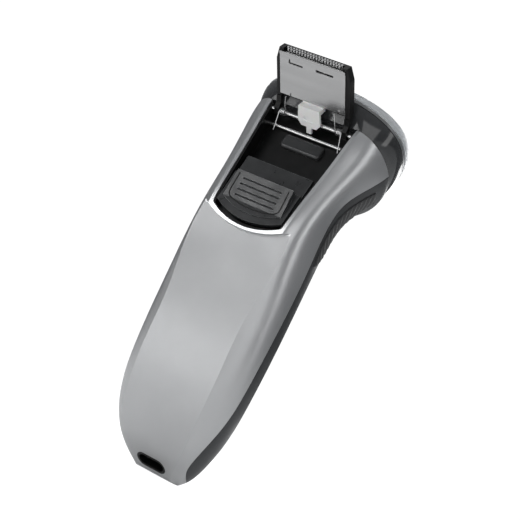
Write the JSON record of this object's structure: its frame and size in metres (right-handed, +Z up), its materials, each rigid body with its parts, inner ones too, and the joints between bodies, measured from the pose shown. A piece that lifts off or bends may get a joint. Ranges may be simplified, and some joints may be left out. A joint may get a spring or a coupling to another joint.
{
  "type": "electric shaver",
  "caption": "Rotary electric shaver with a capped shaving head, a pop-up trimmer on the back and a charging socket at its foot.",
  "frame": {"origin": "centre of the small flat foot at the lower end of the handle", "axes": "+Z up the handle towards the head, +Y towards the back with the trimmer, -Y towards the front with the power button"},
  "size_m": [0.06, 0.0688, 0.1543],
  "materials": {
    "silver_paint": "satin metallic paint",
    "dark_shell": "satin",
    "grip_rubber": "matt",
    "black_plastic": "fine grain",
    "grey_plastic": "satin",
    "white_plastic": "moulded",
    "bright_steel": "polished",
    "blade_steel": "ground",
    "plate_steel": "fine brushed",
    "slider_grey": "satin",
    "pin_metal": "polished",
    "inner_plastic": "moulded",
    "cell_wrap": "shrink wrap",
    "board": "solder mask",
    "lens": "frosted",
    "silver_button": "satin",
    "motor_steel": "zinc plated",
    "brass_gear": "machined",
    "screw_steel": "zinc plated",
    "collar_gloss": "gloss",
    "seal_rubber": "matt",
    "frame_grey": "satin",
    "comb_steel": "fine ground",
    "cap_frosted": "frosted translucent"
  },
  "bodies": {
    "body": {"rear_shell": "silver_paint", "front_shell": "dark_shell", "grip_left": "grip_rubber", "grip_right": "grip_rubber", "chassis": "inner_plastic", "battery_cell": "cell_wrap", "battery_tabs": "pin_metal", "circuit_board": "board", "power_switch": "black_plastic", "status_light": "lens", "indicator_lens": "lens", "trimmer_bay": "black_plastic", "crossbar_rod": "bright_steel", "trimmer_hinge_pin": "bright_steel", "trimmer_drive_cover": "grey_plastic", "trimmer_spring_left": "bright_steel", "trimmer_spring_right": "bright_steel", "charging_socket": "black_plastic", "charging_pins": "pin_metal", "motor_can": "motor_steel", "gear_base": "inner_plastic", "motor_screws": "screw_steel", "gear_deck": "inner_plastic", "deck_screws": "screw_steel", "head_collar": "collar_gloss", "head_seal": "seal_rubber"},
    "trimmer": {"trimmer_frame": "black_plastic", "trimmer_cover_plate": "plate_steel", "trimmer_fixed_blade": "blade_steel", "lever_pivot": "black_plastic"},
    "trimmer_lever": {"trimmer_drive_lever": "white_plastic"},
    "trimmer_blade": {"trimmer_moving_blade": "blade_steel"},
    "slider": {"trimmer_slider": "slider_grey", "slider_detent_spring": "blade_steel"},
    "button": {"power_button": "silver_button"},
    "motor_rotor": {"motor_shaft": "bright_steel", "motor_pinion": "brass_gear"},
    "shaving_head": {"head_frame": "frame_grey", "cutter_retainer": "inner_plastic"},
    "cap": {"cap": "cap_frosted"},
    "gear_1": {"drive_gear_1": "white_plastic", "drive_spindle_1": "bright_steel"},
    "outer_1": {"outer_cutter_1": "comb_steel"},
    "inner_1": {"inner_cutter_1": "blade_steel"},
    "gear_2": {"drive_gear_2": "white_plastic", "drive_spindle_2": "bright_steel"},
    "outer_2": {"outer_cutter_2": "comb_steel"},
    "inner_2": {"inner_cutter_2": "blade_steel"},
    "gear_3": {"drive_gear_3": "white_plastic", "drive_spindle_3": "bright_steel"},
    "outer_3": {"outer_cutter_3": "comb_steel"},
    "inner_3": {"inner_cutter_3": "blade_steel"}
  },
  "joints": [
    {"name": "trimmer_hinge", "type": "hinge", "parent": "body", "child": "trimmer", "pos_m": [0, 0.016, 0.1352], "axis": [1, 0, 0], "range_deg": [-117, 0], "stiffness_Nm_per_rad": 0.001, "springref_deg": 34.38, "deforming": ["trimmer_spring_left", "trimmer_spring_right"]},
    {"name": "lever_swing", "type": "hinge", "parent": "trimmer", "child": "trimmer_lever", "pos_m": [0, 0.0256, 0.1432], "axis": [0, 0.6401, -0.7683], "range_deg": [-4, 4]},
    {"name": "blade_slide", "type": "slide", "parent": "trimmer", "child": "trimmer_blade", "axis": [1, 0, 0], "range_m": [-0.00042, 0.00042]},
    {"name": "slider_slide", "type": "slide", "parent": "body", "child": "slider", "axis": [0, -0.2198, 0.9755], "range_m": [0, 0.0023]},
    {"name": "power_press", "type": "slide", "parent": "body", "child": "button", "axis": [0, 1, 0], "range_m": [0, 0.0007], "stiffness_N_per_m": 80, "springref_m": -0.0025},
    {"name": "head_pull", "type": "slide", "parent": "body", "child": "shaving_head", "axis": [0, -0.3746, 0.9272], "range_m": [0, 0.02]},
    {"name": "cap_pull", "type": "slide", "parent": "shaving_head", "child": "cap", "axis": [0, -0.3746, 0.9272], "range_m": [0, 0.025]},
    {"name": "gear_spin_1", "type": "hinge", "parent": "body", "child": "gear_1", "pos_m": [0.01425, 0.0065, 0.13686], "axis": [0, -0.3746, 0.9272], "continuous": true},
    {"name": "outer_float_1", "type": "slide", "parent": "shaving_head", "child": "outer_1", "axis": [0, 0.3746, -0.9272], "range_m": [0, 0.0003], "stiffness_N_per_m": 100, "springref_m": -0.002},
    {"name": "inner_spin_1", "type": "hinge", "parent": "outer_1", "child": "inner_1", "pos_m": [0.01425, 0.00463, 0.1415], "axis": [0, -0.3746, 0.9272], "continuous": true},
    {"name": "gear_spin_2", "type": "hinge", "parent": "body", "child": "gear_2", "pos_m": [-0.01425, 0.0065, 0.13686], "axis": [0, -0.3746, 0.9272], "continuous": true},
    {"name": "outer_float_2", "type": "slide", "parent": "shaving_head", "child": "outer_2", "axis": [0, 0.3746, -0.9272], "range_m": [0, 0.0003], "stiffness_N_per_m": 100, "springref_m": -0.002},
    {"name": "inner_spin_2", "type": "hinge", "parent": "outer_2", "child": "inner_2", "pos_m": [-0.01425, 0.00463, 0.1415], "axis": [0, -0.3746, 0.9272], "continuous": true},
    {"name": "gear_spin_3", "type": "hinge", "parent": "body", "child": "gear_3", "pos_m": [0, -0.01638, 0.12762], "axis": [0, -0.3746, 0.9272], "continuous": true},
    {"name": "outer_float_3", "type": "slide", "parent": "shaving_head", "child": "outer_3", "axis": [0, 0.3746, -0.9272], "range_m": [0, 0.0003], "stiffness_N_per_m": 100, "springref_m": -0.002},
    {"name": "inner_spin_3", "type": "hinge", "parent": "outer_3", "child": "inner_3", "pos_m": [0, -0.01825, 0.13226], "axis": [0, -0.3746, 0.9272], "continuous": true},
    {"name": "motor_spin", "type": "hinge", "parent": "body", "child": "motor_rotor", "pos_m": [0, -0.00075, 0.13285], "axis": [0, -0.3746, 0.9272], "continuous": true}
  ],
  "couplings": [
    {"joint": "lever_swing", "follows": "blade_slide", "rad_per_m": 163.93},
    {"joint": "gear_spin_2", "follows": "gear_spin_1", "ratio": 1},
    {"joint": "gear_spin_3", "follows": "gear_spin_1", "ratio": 1},
    {"joint": "inner_spin_1", "follows": "gear_spin_1", "ratio": 1},
    {"joint": "inner_spin_2", "follows": "gear_spin_1", "ratio": 1},
    {"joint": "inner_spin_3", "follows": "gear_spin_1", "ratio": 1},
    {"joint": "motor_spin", "follows": "gear_spin_1", "ratio": -1.2381}
  ]
}
